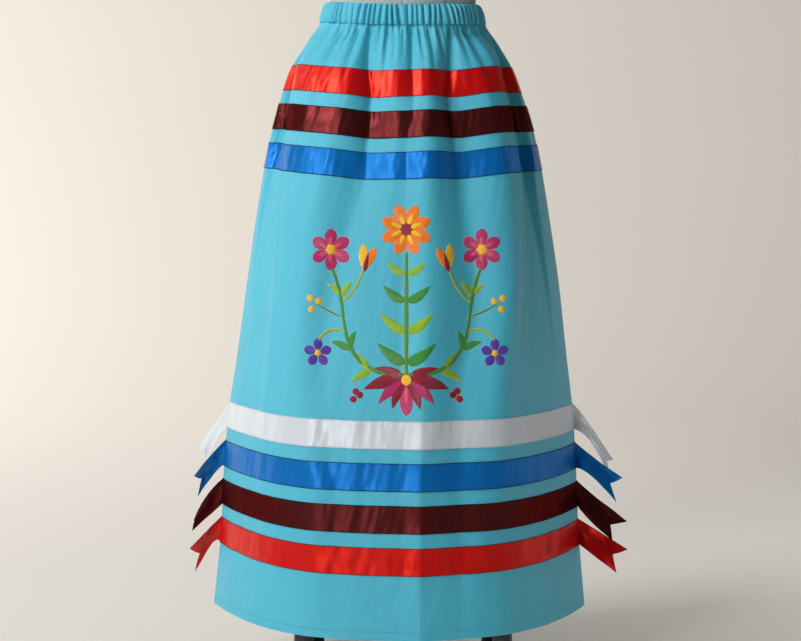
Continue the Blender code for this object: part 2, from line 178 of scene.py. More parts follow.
# Colour, share of metal, specular level and tint, and the colour of the darker band along both edges. The
# sheen of satin is mostly the thread's own colour, so part of each one is metallic.
satinLook = dict(
    white=((0.59, 0.635, 0.69), 0.10, 0.18, (0.8, 0.8, 0.8, 1), (0.48, 0.55, 0.64, 1)),
    blue=((0.002, 0.150, 0.500), 0.32, 0.32, (0.50, 0.60, 0.60, 1), (0.004, 0.03, 0.12, 1)),
    maroon=((0.095, 0.0145, 0.0150), 0.78, 0.02, (0.35, 0.05, 0.05, 1), (0.012, 0.006, 0.012, 1)),
    red=((0.60, 0.0050, 0.0085), 0.32, 0.50, (1.00, 0.50, 0.20, 1), (0.16, 0.008, 0.012, 1)),
)
# The gloss is narrow along the ribbon and wide across it.
satinGloss = dict(roughness=0.34, Anisotropic=0.45, Anisotropic_Rotation=0.25)
satinWeave = dict(
    darkEdge=(0.0013, 0.0007), stitched=(0.008, 0.019),      # metres from the edge, and from the middle
    floats=(1500, 22, 3), picks=(60, 2200, 2),               # long threads up the ribbon, short ones across
    crush=(21, 3, 7, 2, 0.40), tight=(210, 60, 40, 1, 0.5),  # along, aslant, down, detail and roughness
    floatShade=0.16, crushShade=0.12, floatGloss=0.10, crushGloss=0.06, darkEdgeGloss=0.25,
    crushBump=(0.75, 0.0056), puckerBump=(0.5, 0.0008), weaveBump=(0.16, 0.0003),
)
ribbonWidth = 0.0383

def satinFinish(name):
    weave = satinWeave
    colour, metal, level, tint, edge = satinLook[name]
    finish = Finish("satin" + name.title(), colour, Metallic=metal, Specular_IOR_Level=level,
                    Specular_Tint=tint, **satinGloss)
    along, down = finish.clothPlace()
    fromMiddle = (down - ribbonWidth / 2).absolute()
    # a narrow band along both edges takes the darker edge colour and more roughness
    darkEdge = finish.between(fromMiddle, *(ribbonWidth / 2 - inwards for inwards in weave["darkEdge"]))
    nearStitches = finish.between(fromMiddle, *weave["stitched"])
    floats, picks = (finish.streaks(along * fine, down * long, detail)
                     for fine, long, detail in (weave["floats"], weave["picks"]))
    crush, tight = (finish.streaks(along * fine + down * aslant, down * long, detail, rough)
                    for fine, aslant, long, detail, rough in (weave["crush"], weave["tight"]))
    shade = 1 + (floats - 0.5) * weave["floatShade"] + (crush - 0.5) * weave["crushShade"]
    finish.set("Base Color", finish.mix(darkEdge, finish.tone(shade), edge))
    rough = satinGloss["roughness"] + (floats - 0.5) * weave["floatGloss"]
    rough = rough + (crush - 0.5) * weave["crushGloss"] + darkEdge * weave["darkEdgeGloss"]
    finish.set("Roughness", rough)
    soft = finish.bump(crush, *weave["crushBump"])
    puckered = finish.bump(tight * nearStitches, *weave["puckerBump"], soft)
    finish.set("Normal", finish.bump(floats * 0.7 + picks * 0.3, *weave["weaveBump"], puckered))
    return finish.material

# The threads that stitch each ribbon are darker than the ribbon, so every ribbon edge shows a dark line.
threadColours = dict(
    hem=(0.012, 0.11, 0.17), white=(0.50, 0.56, 0.66), blue=(0.003, 0.030, 0.14),
    maroon=(0.012, 0.006, 0.012), red=(0.20, 0.010, 0.012),
    pale=(0.60, 0.42, 0.44), stem=(0.040, 0.27, 0.040), leaf=(0.26, 0.46, 0.020), sun=(0.90, 0.50, 0.018),
    orange=(0.86, 0.20, 0.012), rose=(0.46, 0.022, 0.13), plum=(0.085, 0.032, 0.36),
    wine=(0.260, 0.006, 0.024), pink=(0.66, 0.080, 0.14),
)
threadLook = dict(roughness=0.42, strand=0.0011, slant=0.35, patches=(1300, 90), strandShade=0.16,
                  patchShade=0.75, cloudShade=0.35, gloss=(0.40, 0.2), bump=(0.6, 0.0005))

def threadFinish(name):
    # embroidery thread: laid side by side across each shape, with a soft gloss
    look = threadLook
    finish = Finish("thread" + name.title(), threadColours[name], look["roughness"],
                    Specular_IOR_Level=0.4, Sheen_Weight=0.05, Sheen_Roughness=0.4)
    along, across = finish.clothPlace()
    slant = along + across * look["slant"]
    strands = (slant * (2 * pi / look["strand"])).sine()
    patchy = finish.streaks(slant * look["patches"][0], across * look["patches"][1], 2)
    cloud = finish.noise(finish.objectPlace(), 160, 2)
    shade = 1 + strands * look["strandShade"] + (patchy - 0.5) * look["patchShade"]
    finish.set("Base Color", finish.tone(shade + (cloud - 0.5) * look["cloudShade"]))
    finish.set("Roughness", look["gloss"][0] + (patchy - 0.5) * look["gloss"][1])
    finish.set("Normal", finish.bump(strands * 0.5 + patchy, *look["bump"]))
    return finish.material

linenLook = dict(
    colour=(0.44, 0.52, 0.53), roughness=0.9, thread=0.0011, warp=(520, 26), weft=(22, 520),
    slub=0.55, crossingShade=0.05, cloud=0.12, cloudGrain=(9, 3), crossings=0.4, threads=1.4,
    weaveBump=(0.5, 0.0006), fixed=dict(Specular_IOR_Level=0.25, Sheen_Weight=0.2),
)

def linenFinish():
    look = linenLook
    finish = Finish("linen", look["colour"], look["roughness"], **look["fixed"])
    _, _, weave, threads, cloud = woven(finish, look)
    shade = 1 + threads * look["slub"] + weave * look["crossingShade"] + (cloud - 0.5) * look["cloud"]
    finish.set("Base Color", finish.tone(shade))
    height = weave * look["crossings"] + threads * look["threads"]
    finish.set("Normal", finish.bump(height, *look["weaveBump"]))
    return finish.material

# The stand's black finishes: a fine grain, and dust or scuffs where a noise is high. The gloss is its least
# roughness and what the marks add.
blackLooks = dict(
    blackPowderCoat=dict(
        colour=(0.012, 0.012, 0.013), roughness=0.42, gloss=(0.34, 0.2), grain=900, marks=14,
        shows=(0.5, 0.75), share=0.35, marked=(0.045, 0.043, 0.040, 1), coat=0.25, bump=(0.22, 0.0004),
        fixed=dict(Coat_Roughness=0.3)),
    footRubber=dict(
        colour=(0.011, 0.011, 0.011), roughness=0.75, gloss=(0.66, 0.2), grain=1400, marks=60,
        shows=(0.55, 0.8), share=0.5, marked=(0.05, 0.048, 0.045, 1), bump=(0.3, 0.0003),
        fixed=dict(Specular_IOR_Level=0.35)),
)

def blackFinish(name):
    look = blackLooks[name]
    finish = Finish(name, look["colour"], look["roughness"], **look["fixed"])
    place = finish.objectPlace()
    grain = finish.noise(place, look["grain"], 2)
    marks = finish.noise(place, look["marks"], 4)
    share = finish.between(marks, *look["shows"]) * look["share"]
    finish.set("Base Color", finish.mix(share, finish.colour, look["marked"]))
    finish.set("Roughness", look["gloss"][0] + marks * look["gloss"][1])
    if "coat" in look:
        finish.set("Coat Weight", look["coat"] + marks * 0.1)
    finish.set("Normal", finish.bump(grain, *look["bump"]))
    return finish.material

woodLook = dict(colour=(0.34, 0.195, 0.095), roughness=0.4, gloss=(0.34, 0.16), fibres=(60, 420, 60),
                rings=(14, 90, 14), fibreShade=0.5, ringShade=0.7, coat=0.3, bump=(0.15, 0.0003))

def woodFinish():
    look = woodLook
    finish = Finish("turnedBeech", look["colour"], look["roughness"], Coat_Roughness=0.25)
    place = finish.objectPlace()

    def stretched(scale, detail, rough=0.5):
        return finish.noise(finish.node("ShaderNodeMapping", None, {"Vector": place, "Scale": scale}),
                            1, detail, rough)

    fibres, rings = stretched(look["fibres"], 4, 0.6), stretched(look["rings"], 2)
    shade = 1 + (fibres - 0.5) * look["fibreShade"] + (rings - 0.5) * look["ringShade"]
    finish.set("Base Color", finish.tone(shade))
    finish.set("Roughness", look["gloss"][0] + fibres * look["gloss"][1])
    finish.set("Coat Weight", look["coat"] + fibres * 0.1)
    finish.set("Normal", finish.bump(fibres, *look["bump"]))
    return finish.material

cotton = cottonFinish()
satins = {name: satinFinish(name) for name in satinLook}
threads = {name: threadFinish(name) for name in threadColours}
linen = linenFinish()
powderCoat, rubber = (blackFinish(name) for name in blackLooks)
beech = woodFinish()
print("materials ready")

def meshFrom(bm, name):
    mesh = bpy.data.meshes.new(name)
    bm.to_mesh(mesh)
    bm.free()
    return mesh

def gridMesh(name, points, places, outs, closed=False, capped=False):
    # a sheet of rows and columns of points, which faces the way that outs points
    rows, columns = points.shape[:2]
    bm = bmesh.new()
    bm.loops.layers.uv.new("cloth")
    bmesh.ops.create_grid(bm, x_segments=columns - 1, y_segments=rows - 1, size=1)
    for edge in bm.edges:
        edge.smooth = not edge.is_boundary or closed
    mesh = meshFrom(bm, name)
    mesh.vertices.foreach_set("co", points.ravel())
    corners = np.zeros(len(mesh.loops), int)
    mesh.loops.foreach_get("vertex_index", corners)
    mesh.uv_layers["cloth"].data.foreach_set("uv", places.reshape(-1, 2)[corners].ravel())
    mesh.update()
    normals = np.zeros(points.size)
    mesh.vertices.foreach_get("normal", normals)
    if np.sum(normals * outs.ravel()) < 0:
        mesh.flip_normals()
    bm = bmesh.new()
    bm.from_mesh(mesh)
    if closed:
        bmesh.ops.remove_doubles(bm, verts=bm.verts, dist=1e-6)
    if capped:
        bmesh.ops.holes_fill(bm, edges=[edge for edge in bm.edges if edge.is_boundary])
        bmesh.ops.recalc_face_normals(bm, faces=bm.faces)
    bm.to_mesh(mesh)
    bm.free()
    return mesh

def spunMesh(name, profile, steps, centre=(0, 0), hollow=False):
    # radii and heights turned round an upright axis
    bm = bmesh.new()
    corners = [bm.verts.new((radius, 0, height)) for radius, height in profile]
    edges = [bm.edges.new(pair) for pair in zip(corners, corners[1:])]
    bmesh.ops.spin(bm, geom=corners + edges, axis=(0, 0, 1), cent=(0, 0, 0), angle=2 * pi, steps=steps,
                   use_merge=True)
    bmesh.ops.remove_doubles(bm, verts=bm.verts, dist=1e-6)
    bmesh.ops.translate(bm, verts=bm.verts, vec=(*centre, 0))
    bmesh.ops.recalc_face_normals(bm, faces=bm.faces)
    if hollow:
        bmesh.ops.reverse_faces(bm, faces=bm.faces)
    return meshFrom(bm, name)

def addObject(mesh, material):
    mesh.shade_smooth()
    mesh.materials.append(material)
    made = bpy.data.objects.new(mesh.name, mesh)
    scene.collection.objects.link(made)
    return made

def addPiece(mesh, material, slot, node=None, thickness=0):
    # a piece of the object, and the node of the model that it stands in for
    piece = addObject(mesh, material)
    if thickness:
        wall = piece.modifiers.new("thickness", "SOLIDIFY")
        wall.thickness, wall.offset = thickness, -1
    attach(piece, "root")
    if node:
        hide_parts(node)
    return piece

def clothPlaces(along, down):
    # metres along and down a cloth, for every point of its grid
    return np.stack(np.broadcast_arrays(along, down), axis=-1)

def unit(vectors):
    return vectors / np.linalg.norm(vectors, axis=-1, keepdims=True)

skirt = dict(waistTop=0.9674, seam=0.9385, hem=0.0945, sideTilt=0.0018, columns=320, samples=1441,
             rowLength=0.72, offset=0.00015)
panelNames = ("front", "back")

# level, half width, front depth, back depth, middle, lift of the sides, flatness, softness
skirtSections = np.array((
    (0.0945, 0.2721, 0.213, 0.213, -0.0054, 0.0051, 3.20, 1.05),
    (0.2000, 0.2619, 0.207, 0.207, -0.0045, 0.0068, 3.15, 1.07),
    (0.3000, 0.2570, 0.201, 0.201, -0.0042, 0.0047, 3.10, 1.10),
    (0.3940, 0.2491, 0.194, 0.194, -0.0027, 0.0040, 3.00, 1.15),
    (0.4600, 0.2398, 0.187, 0.188, -0.0015, 0.0050, 2.90, 1.20),
    (0.5600, 0.2268, 0.177, 0.179, 0.0000, 0.0083, 2.80, 1.30),
    (0.6600, 0.2115, 0.165, 0.168, 0.0000, 0.0115, 2.65, 1.45),
    (0.7235, 0.2005, 0.156, 0.161, 0.0000, 0.0132, 2.55, 1.55),
    (0.7609, 0.1930, 0.150, 0.156, 0.0000, 0.0125, 2.50, 1.60),
    (0.8000, 0.1830, 0.144, 0.151, 0.0000, 0.0118, 2.50, 1.70),
    (0.8366, 0.1715, 0.136, 0.143, -0.0010, 0.0108, 2.45, 1.80),
    (0.8741, 0.1576, 0.124, 0.128, -0.0010, 0.0093, 2.40, 1.85),
    (0.9100, 0.1360, 0.106, 0.106, 0.0000, 0.0072, 2.35, 1.95),
    (0.9385, 0.1169, 0.092, 0.091, 0.0000, 0.0055, 2.30, 2.00),
    (0.9686, 0.1088, 0.086, 0.085, 0.0000, 0.0050, 2.30, 2.00),
))
sectionSlopes = np.gradient(skirtSections, skirtSections[:, 0], axis=0)

# The large folds at these levels: the feet, ridges and valleys one after another across a panel, each with
# its places, as shares of the half width, and how many millimetres it stands out.
foldLevels = (0.9385, 0.90, 0.86, 0.77, 0.70, 0.56, 0.43, 0.30, 0.0945)
folds = dict(
    front=(
        ((-.995, -.992, -.985, -.975, -.970, -.965, -.955, -.930, -.920), (0, 0, 0, 0, 0, 0, 0, 0, 0)),
        ((-.990, -.980, -.916, -.852, -.840, -.850, -.840, -.800, -.780), (0, 0, 0, 0, -1, -3, -2, -1, 0)),
        ((-.975, -.955, -.896, -.832, -.818, -.780, -.760, -.730, -.720), (0, 3, 6, 8, 8, 5, 3, 1, 0)),
        ((-.950, -.900, -.860, -.760, -.740, -.720, -.700, -.680, -.680), (0, 4, 9, 12, 12, 7, 4, 2, 0)),
        ((-.600, -.520, -.480, -.540, -.600, -.620, -.610, -.470, -.450), (0, 3, 7, 11, 12, 9, 6, 4, 0)),
        ((-.360, -.280, -.240, -.240, -.300, -.430, -.420, -.330, -.360), (0, 0, -5, -7, -8, -7, -6, -3, 0)),
        ((-.050, -.040, -.010, .000, .000, -.030, -.020, .000, .000), (0, 2, 3, 2, 1, -3, -2, -1, 0)),
        ((.250, .240, .210, .180, .165, .150, .125, .115, .104), (0, 4, 7, 9, 9, 7, 5, 1, 0)),
        ((.420, .440, .450, .420, .410, .430, .320, .300, .340), (0, -3, -6, -7, -8, -7, -5, -2, 0)),
        ((.900, .820, .730, .680, .680, .635, .570, .530, .500), (0, 5, 11, 15, 17, 16, 11, 5, 0)),
        ((.968, .915, .817, .777, .777, .740, .690, .670, .680), (0, 3, 9, 12, 12, 6, 3, 1, 0)),
        ((.990, .937, .836, .796, .796, .780, .740, .720, .730), (0, 0, 0, 0, 0, 0, 0, 0, 0)),
    ),
    back=(
        ((-.990, -.950, -.900, -.820, -.790, -.760, -.720, -.700, -.700), (0, 0, 0, 0, 0, 0, 0, 0, 0)),
        ((-.930, -.880, -.840, -.760, -.730, -.680, -.620, -.600, -.580), (0, 5, 10, 13, 12, 8, 5, 3, 0)),
        ((-.600, -.560, -.520, -.480, -.460, -.440, -.430, -.430, -.430), (0, -2, -4, -5, -4, -3, -2, -1, 0)),
        ((-.300, -.280, -.270, -.250, -.240, -.230, -.220, -.210, -.200), (0, 4, 7, 9, 9, 7, 4, 2, 0)),
        ((-.020, -.010, .000, .010, .010, .010, .010, .010, .010), (0, -1, -3, -4, -4, -3, -2, -1, 0)),
        ((.280, .280, .270, .270, .280, .290, .300, .310, .320), (0, 3, 6, 8, 8, 6, 4, 2, 0)),
        ((.570, .550, .530, .510, .500, .500, .500, .500, .500), (0, -2, -4, -5, -4, -3, -2, -1, 0)),
        ((.930, .880, .830, .760, .730, .690, .650, .620, .600), (0, 5, 10, 13, 12, 9, 6, 3, 0)),
        ((.990, .950, .900, .820, .800, .770, .740, .720, .720), (0, 0, 0, 0, 0, 0, 0, 0, 0)),
    ),
)
foldLift = (.30, .30, .26, .22, .15, .08, .05, .05, .05)
# One sharp crease a panel, which grows towards the hem: its places, heights and reach to both sides.
pressedCreases = dict(
    front=((.250, .240, .235, .205, .190, .160, .120, .110, .104), (0, 0, 0, 0, 0, 1, 5, 8, 11), 0.32, 0.22),
    back=((-.020, -.040, -.060, -.080, -.090, -.110, -.130, -.140, -.150), (0, 0, 0, 0, 0, 1, 4, 6, 8),
          0.26, 0.30),
)
pressedSharpness = 1.15

# Creases that run down from the gathers: place at the seam and lower down, as shares of the half width,
# depth and width in millimetres, and how far down each one reaches in metres.
gatherCreases = dict(front=(
    (-.98, -.93, 7, 2.8, .055), (-.86, -.82, 10, 2.8, .055), (-.720, -.66, 14, 3.2, .070),
    (-.62, -.60, 6, 2.2, .040), (-.52, -.47, 10, 2.8, .060), (-.405, -.270, 15, 3.8, .150),
    (-.320, -.22, 6, 2.2, .040), (-.265, -.22, 8, 2.2, .045), (-.175, -.15, 11, 2.8, .055),
    (-.090, -.080, 7, 2.2, .040), (.000, .000, 6, 2.2, .035), (.100, .080, 14, 3.4, .090),
    (.200, .190, 8, 2.2, .045), (.300, .270, 10, 2.6, .050), (.430, .370, 7, 2.2, .035),
    (.580, .385, 14, 4.0, .160), (.670, .600, 9, 2.8, .050), (.740, .670, 7, 2.2, .035),
    (.785, .700, 12, 3.4, .075), (.860, .820, 6, 2.6, .035), (.930, .900, 7, 3.0, .050),
))
# the back's are the same ones mirrored, a little wider and shorter
gatherCreases["back"] = [(-place, -low, depth, width, reach) for place, low, depth, width, reach in
                         np.array(gatherCreases["front"]) * (0.96, 0.97, 1, 1.1, 0.9)]
creaseLook = dict(driftsOver=0.10, widensOver=0.06, widening=1.1, shallow=0.28, deepensOver=0.020,
                  narrow=0.6)

# Waves along a row of cloth: each one's size, how many there are, and where it starts.
gatherLook = dict(
    count=38, spacing=((1.1, 5, 1), (0.8, 11, 0)), size=((0.25, 5, 0), (0.15, 11, 0)),
    # millimetres of gathers towards the seam, and of the swell below it, at these levels
    levels=(0.90, 0.9385), heights=(0.3, 1.7),
    swellLevels=(0.865, 0.915, 0.930, 0.9385), swell=(0, 3, 2.6, 0),
)
# Soft drapes and a little crumple: millimetres, and their lengths across and down.
drapes = ((0.32, 0.135, 0.70), (0.17, 0.036, 0.11))
drapeSeeds = dict(front=3, back=40)

# The two tucks beside each panel's side seams, where the cloth goes back under a pressed edge. At these
# levels: the shares of the half width where the edge and the far lip lie, and the depth in millimetres.
tuckLevels = (0.930, 0.903, 0.884, 0.862, 0.836, 0.808, 0.778, 0.749, 0.706, 0.660, 0.600, 0.450)
backTuck = dict(edges=(.985, .960, .925, .900, .880, .870, .865, .860, .855, .850, .850, .850),
                lips=(.985,) * 12, depths=(0, 3, 5, 7, 8, 8, 8, 7, 5, 3, 1, 0), wall=0.010)
tucks = dict(
    front=(dict(side=-1, edges=(.990, .982, .950, .918, .895, .872, .855, .848, .842, .840, .840, .840),
                lips=(.995, .991, .990, .988, .988, .986, .986, .982, .972, .965, .960, .960),
                depths=(0, 4, 9, 14, 15, 15, 14, 12, 6, 3, 1, 0), wall=0.004),
           dict(side=1, edges=(.985, .940, .885, .838, .824, .812, .799, .796, .796, .780, .760, .750),
                lips=(.990, .985, .980, .977, .975, .956, .948, .944, .925, .925, .920, .920),
                depths=(0, 6, 10, 13, 14, 14, 14, 14, 13, 9, 5, 0), wall=0.010)),
    back=(dict(side=-1, **backTuck), dict(side=1, **backTuck)),
)
tuckEdge = 0.012

def smooth(t):
    return t * t * (3 - 2 * t)

def hermite(table, slopes, place):
    # a table's row at one place, on a smooth curve through its rows
    places = table[:, 0]
    n = int(np.clip(np.searchsorted(places, place) - 1, 0, len(places) - 2))
    span = places[n + 1] - places[n]
    t = (place - places[n]) / span
    start = (1 + 2 * t) * (1 - t) ** 2 * table[n] + t * (1 - t) ** 2 * span * slopes[n]
    end = smooth(t) * table[n + 1] + t * t * (t - 1) * span * slopes[n + 1]
    return start + end

def sectionAt(level):
    return hermite(skirtSections, sectionSlopes, level)[1:]

def atFoldLevel(values, level):
    return np.interp(level, foldLevels[::-1], values[::-1])

def waves(across, down, acrossSpan, downSpan, seed, count=10):
    # irregular waves around nought, with lengths of about the spans
    random = np.random.default_rng(seed)
    total = 0
    for _ in range(count):
        a, b, turn = random.normal(0, 1), random.normal(0, 1), random.uniform(0, 2 * pi)
        total = total + np.cos(2 * pi * (a * across / acrossSpan + b * down / downSpan) + turn)
    return total * (2 / count) ** 0.5

def ripples(along, terms):
    return sum(size * np.sin(2 * pi * count * along + start) for size, count, start in terms)

def puffs(along):
    # gathers with round tops and sharp valleys, from -1 to 1, unevenly spaced on their elastic
    phase = 2 * pi * gatherLook["count"] * along + ripples(along, gatherLook["spacing"])
    return 2 * np.abs(np.cos(phase / 2)) ** 0.5 - 1

def relief(panel, level, share, along):
    # how far the cloth stands out of its plain section, and how far that lifts it
    nodes = [(atFoldLevel(places, level), atFoldLevel(heights, level) * mm)
             for places, heights in folds[panel]]
    out = np.zeros_like(share)
    for (start, low), (end, high) in zip(nodes[:-1], nodes[1:]):
        t = (share - start) / max(end - start, 1e-6)
        out = np.where((t >= 0) & (t < 1), low + (high - low) * smooth(t), out)
    lift = atFoldLevel(foldLift, level) * out
    places, heights, left, right = pressedCreases[panel]
    across = share - atFoldLevel(places, level)
    away = np.clip(np.abs(across / np.where(across < 0, left, right)), 0, 1)
    out = out + atFoldLevel(heights, level) * mm * (1 - away) ** pressedSharpness
    look = gatherLook
    if level > look["levels"][0]:
        uneven = 1 + ripples(along, look["size"])
        out += np.interp(level, look["levels"], look["heights"]) * mm * uneven * puffs(along)
    out += np.interp(level, look["swellLevels"], look["swell"]) * mm * (1 - share ** 4)
    return out, lift

def fineRelief(panel, level, share, along):
    # creases below the gathers, soft drapes, a little crumple, and the tucks
    look, width = creaseLook, sectionAt(level)[0]
    below = max(skirt["seam"] - level, 0)
    drift = min(below / look["driftsOver"], 1)
    wider = min(below / look["widensOver"], 1)
    out = np.zeros_like(share)
    for place, low, depth, spread, reach in gatherCreases[panel]:
        wide = spread * mm * (1 + look["widening"] * wider)
        across = (share - place - (low - place) * drift) * width / wide
        fade = np.exp(-(below / reach) ** 2) * min(1, look["shallow"] + below / look["deepensOver"])
        out -= depth * mm * fade / (1 + across ** 2 * (look["narrow"] + (1 - look["narrow"]) * wider))
    metres, down = along * skirt["rowLength"], np.full_like(share, level)
    for seed, (height, acrossSpan, downSpan) in enumerate(drapes, start=drapeSeeds[panel]):
        out += height * mm * waves(metres, down, acrossSpan, downSpan, seed)
    out *= np.clip((1 - np.abs(share)) * 12, 0, 1)
    for tuck in tucks[panel]:
        edge, lip, depth = (np.interp(level, tuckLevels[::-1], tuck[name][::-1])
                            for name in ("edges", "lips", "depths"))
        across = share * tuck["side"]
        inside = np.clip(np.minimum((across - edge) / tuckEdge, (lip - across) / tuck["wall"]), 0, 1)
        out -= depth * mm * smooth(inside)
    return out

def plainRow(panel, level, columns):
    # evenly spaced points of a plain section, with their shares of the half width and of the row's length
    halfWidth, frontDepth, backDepth, middle, sideLift, flat, soft = sectionAt(level)
    share = np.sin(np.linspace(-pi / 2, pi / 2, skirt["samples"]))
    depth = (1 - np.abs(share) ** flat) ** (1 / soft)
    x = middle + halfWidth * share
    y = (-frontDepth if panel == "front" else backDepth) * depth
    length = np.concatenate(([0], np.cumsum(np.hypot(np.diff(x), np.diff(y)))))
    along = np.linspace(0, 1, columns + 1)
    share, x, y = (np.interp(along * length[-1], length, values) for values in (share, x, y))
    z = level + sideLift * share ** 2 - skirt["sideTilt"] * share * np.abs(share)
    return np.column_stack((x, y, z)), share, along

def waysOut(points, panel):
    steps = unit(np.diff(points[:, :2], axis=0))
    turn = 1 if panel == "front" else -1
    faces = turn * np.column_stack((steps[:, 1], -steps[:, 0]))
    ways = np.zeros_like(points)
    ways[1:-1, :2] = unit(faces[:-1] + faces[1:])
    ways[0], ways[-1] = (-1, 0, 0), (1, 0, 0)
    return ways

def clothRow(panel, level):
    # one level of the cloth's outer face: its points, the ways out of it, and the share of the row's length
    points, share, along = plainRow(panel, level, skirt["columns"])
    out, lift = relief(panel, level, share, along)
    out = out + fineRelief(panel, level, share, along)
    points += waysOut(points, panel) * out[:, None]
    points[:, 2] += lift
    points[:, 1] += -skirt["offset"] if panel == "front" else skirt["offset"]
    return points, waysOut(points, panel), along

def clothRows(panel, levels, offset=0):
    made = [clothRow(panel, level) for level in levels]
    ways = np.array([row[1] for row in made])
    return np.array([row[0] for row in made]) + ways * offset, ways, made[0][2]

panelLook = dict(flat=(0.75, 0.89), thickness=0.0006, tucked=0.003, tuckedIn=0.0022, hipTop=0.860,
                 hipEnd=0.690, topRows=40, hipRows=42, longRows=72)

def addPanel(panel):
    look, seam = panelLook, skirt["seam"]
    levels = np.concatenate((
        np.linspace(seam + look["tucked"], look["hipTop"], look["topRows"], endpoint=False),
        np.linspace(look["hipTop"], look["hipEnd"], look["hipRows"], endpoint=False),
        np.linspace(look["hipEnd"], skirt["hem"], look["longRows"]),
    ))
    points, ways, along = clothRows(panel, levels)
    # the top edge goes into the casing
    points -= ways * np.clip((levels - seam) / look["tucked"], 0, 1)[:, None, None] * look["tuckedIn"]
    places = clothPlaces(along[None, :] * look["flat"][0], (seam - levels)[:, None])
    mesh = gridMesh(panel + "_cotton", points, places, ways)
    return addPiece(mesh, cotton, "cotton", panel + "_panel", look["thickness"]), points

panels = {panel: addPanel(panel) for panel in panelNames}
print("panels ready")

bandLook = dict(
    columns=1080, around=1.4,
    # how tall the gathers stand and how that varies round the waist
    tall=1.3, heights=((0.35, 7, 0), (0.2, 3, 0)),
    # the folds of the casing lean to either side as they rise
    low=0.942, rise=0.025, lean=((0.006, 4, 2), (0.004, 9, 0)),
)
# Level, how far the casing swells and how deep its gathers are: up the outside, over the top, down inside.
bandProfile = (
    (0.9383, -0.0020, 0.0008), (0.9383, -0.0010, 0.0018), (0.9390, 0, 0.0025), (0.9402, 0, 0.0022),
    (0.9414, 0.0007, 0.0023), (0.9440, 0.0015, 0.0024), (0.9490, 0.0020, 0.0024), (0.9545, 0.0020, 0.0024),
    (0.9600, 0.0014, 0.0023), (0.9642, 0.0006, 0.0020), (0.9664, -0.0001, 0.0016),
    (0.9673, -0.0008, 0.0012), (0.9669, -0.0018, 0.0008), (0.9650, -0.0025, 0.0005),
    (0.9540, -0.0027, 0.0002), (0.9400, -0.0027, 0.0002), (0.9383, -0.0020, 0.0008),
)

def bandRow(level, swell, gather):
    look, halves = bandLook, []
    for panel in panelNames:
        points, _, along = plainRow(panel, level, look["columns"] // 2)
        lean = (level - look["low"]) / look["rise"] * ripples(along, look["lean"])
        lean = lean * np.clip(np.minimum(along, 1 - along) * 12, 0, 1)
        out = swell + gather * (look["tall"] + ripples(along, look["heights"])) * puffs(along + lean)
        halves.append(points + waysOut(points, panel) * out[:, None])
    front, back = halves
    return np.concatenate((front[:-1], back[::-1]))

def addWaistband():
    points = np.array([bandRow(*row) for row in bandProfile])
    around = np.linspace(0, bandLook["around"], points.shape[1])
    down = skirt["waistTop"] - np.array([row[0] for row in bandProfile])
    places, outs = clothPlaces(around[None, :], down[:, None]), points - points[:-1].mean(axis=0)[None]
    mesh = gridMesh("waistband_casing", points, places, outs, closed=True)
    return addPiece(mesh, cotton, "cotton", "waistband")

waistband = addWaistband()
print("waistband ready")

ribbonLook = dict(offset=0.00055, stands=0.0003, thickness=0.00035, rows=11)
# For each group: the top level of its first ribbon, the step down to the next, the height as it lies, the
# cut length and the colours.
ribbonGroups = dict(upper=(0.8741, 0.0566, 0.0374, 0.50, ("red", "maroon", "blue")),
                    lower=(0.3940, 0.0576, 0.0383, 0.68, ("white", "blue", "maroon", "red")))
ribbonLevels = {f"{group}_{colour}": (top - n * step, height, length, colour)
                for group, (top, step, height, length, colours) in ribbonGroups.items()
                for n, colour in enumerate(colours)}
# A ribbon's own small waves: millimetres and lengths of the tight and the loose ones, and the deepest.
puckerLook = dict(tight=0.13, tightSpan=0.009, loose=0.20, looseSpan=0.030, looseDown=0.06, deepest=-0.40,
                  slant=0.006, height=0.038)

def pucker(down, along, seed):
    # strongest at the stitched edges, and never through the cloth below
    look, metres = puckerLook, along * skirt["rowLength"]
    edge = abs(down - 0.5) * 2
    tight = waves(metres, np.zeros_like(metres), look["tightSpan"], 1, seed, 8) * edge ** 2
    place = metres + down * look["slant"], np.full_like(metres, down * look["height"])
    loose = waves(*place, look["looseSpan"], look["looseDown"], seed + 1) * (1 - 0.5 * edge)
    return np.maximum(look["tight"] * tight + look["loose"] * loose, look["deepest"]) * mm

def addRibbon(panel, name):
    top, height, _, colour = ribbonLevels[name]
    look, shares = ribbonLook, np.linspace(0, 1, ribbonLook["rows"])
    points, ways, along = clothRows(panel, top - shares * height, look["offset"])
    seed = 100 + list(ribbonLevels).index(name) + (50 if panel == "back" else 0)
    stands = np.array([look["stands"] + pucker(share, along, seed) for share in shares])
    points += ways * stands[:, :, None]
    places = clothPlaces(along[None, :] * skirt["rowLength"], shares[:, None] * ribbonWidth)
    mesh = gridMesh(f"{panel}_{name}_satin", points, places, ways)
    piece = addPiece(mesh, satins[colour], "satin_" + colour, f"{panel}_ribbon_{name}", look["thickness"])
    return piece, points, ways

ribbons = {(panel, name): addRibbon(panel, name) for panel in panelNames for name in ribbonLevels}
print("ribbons ready")

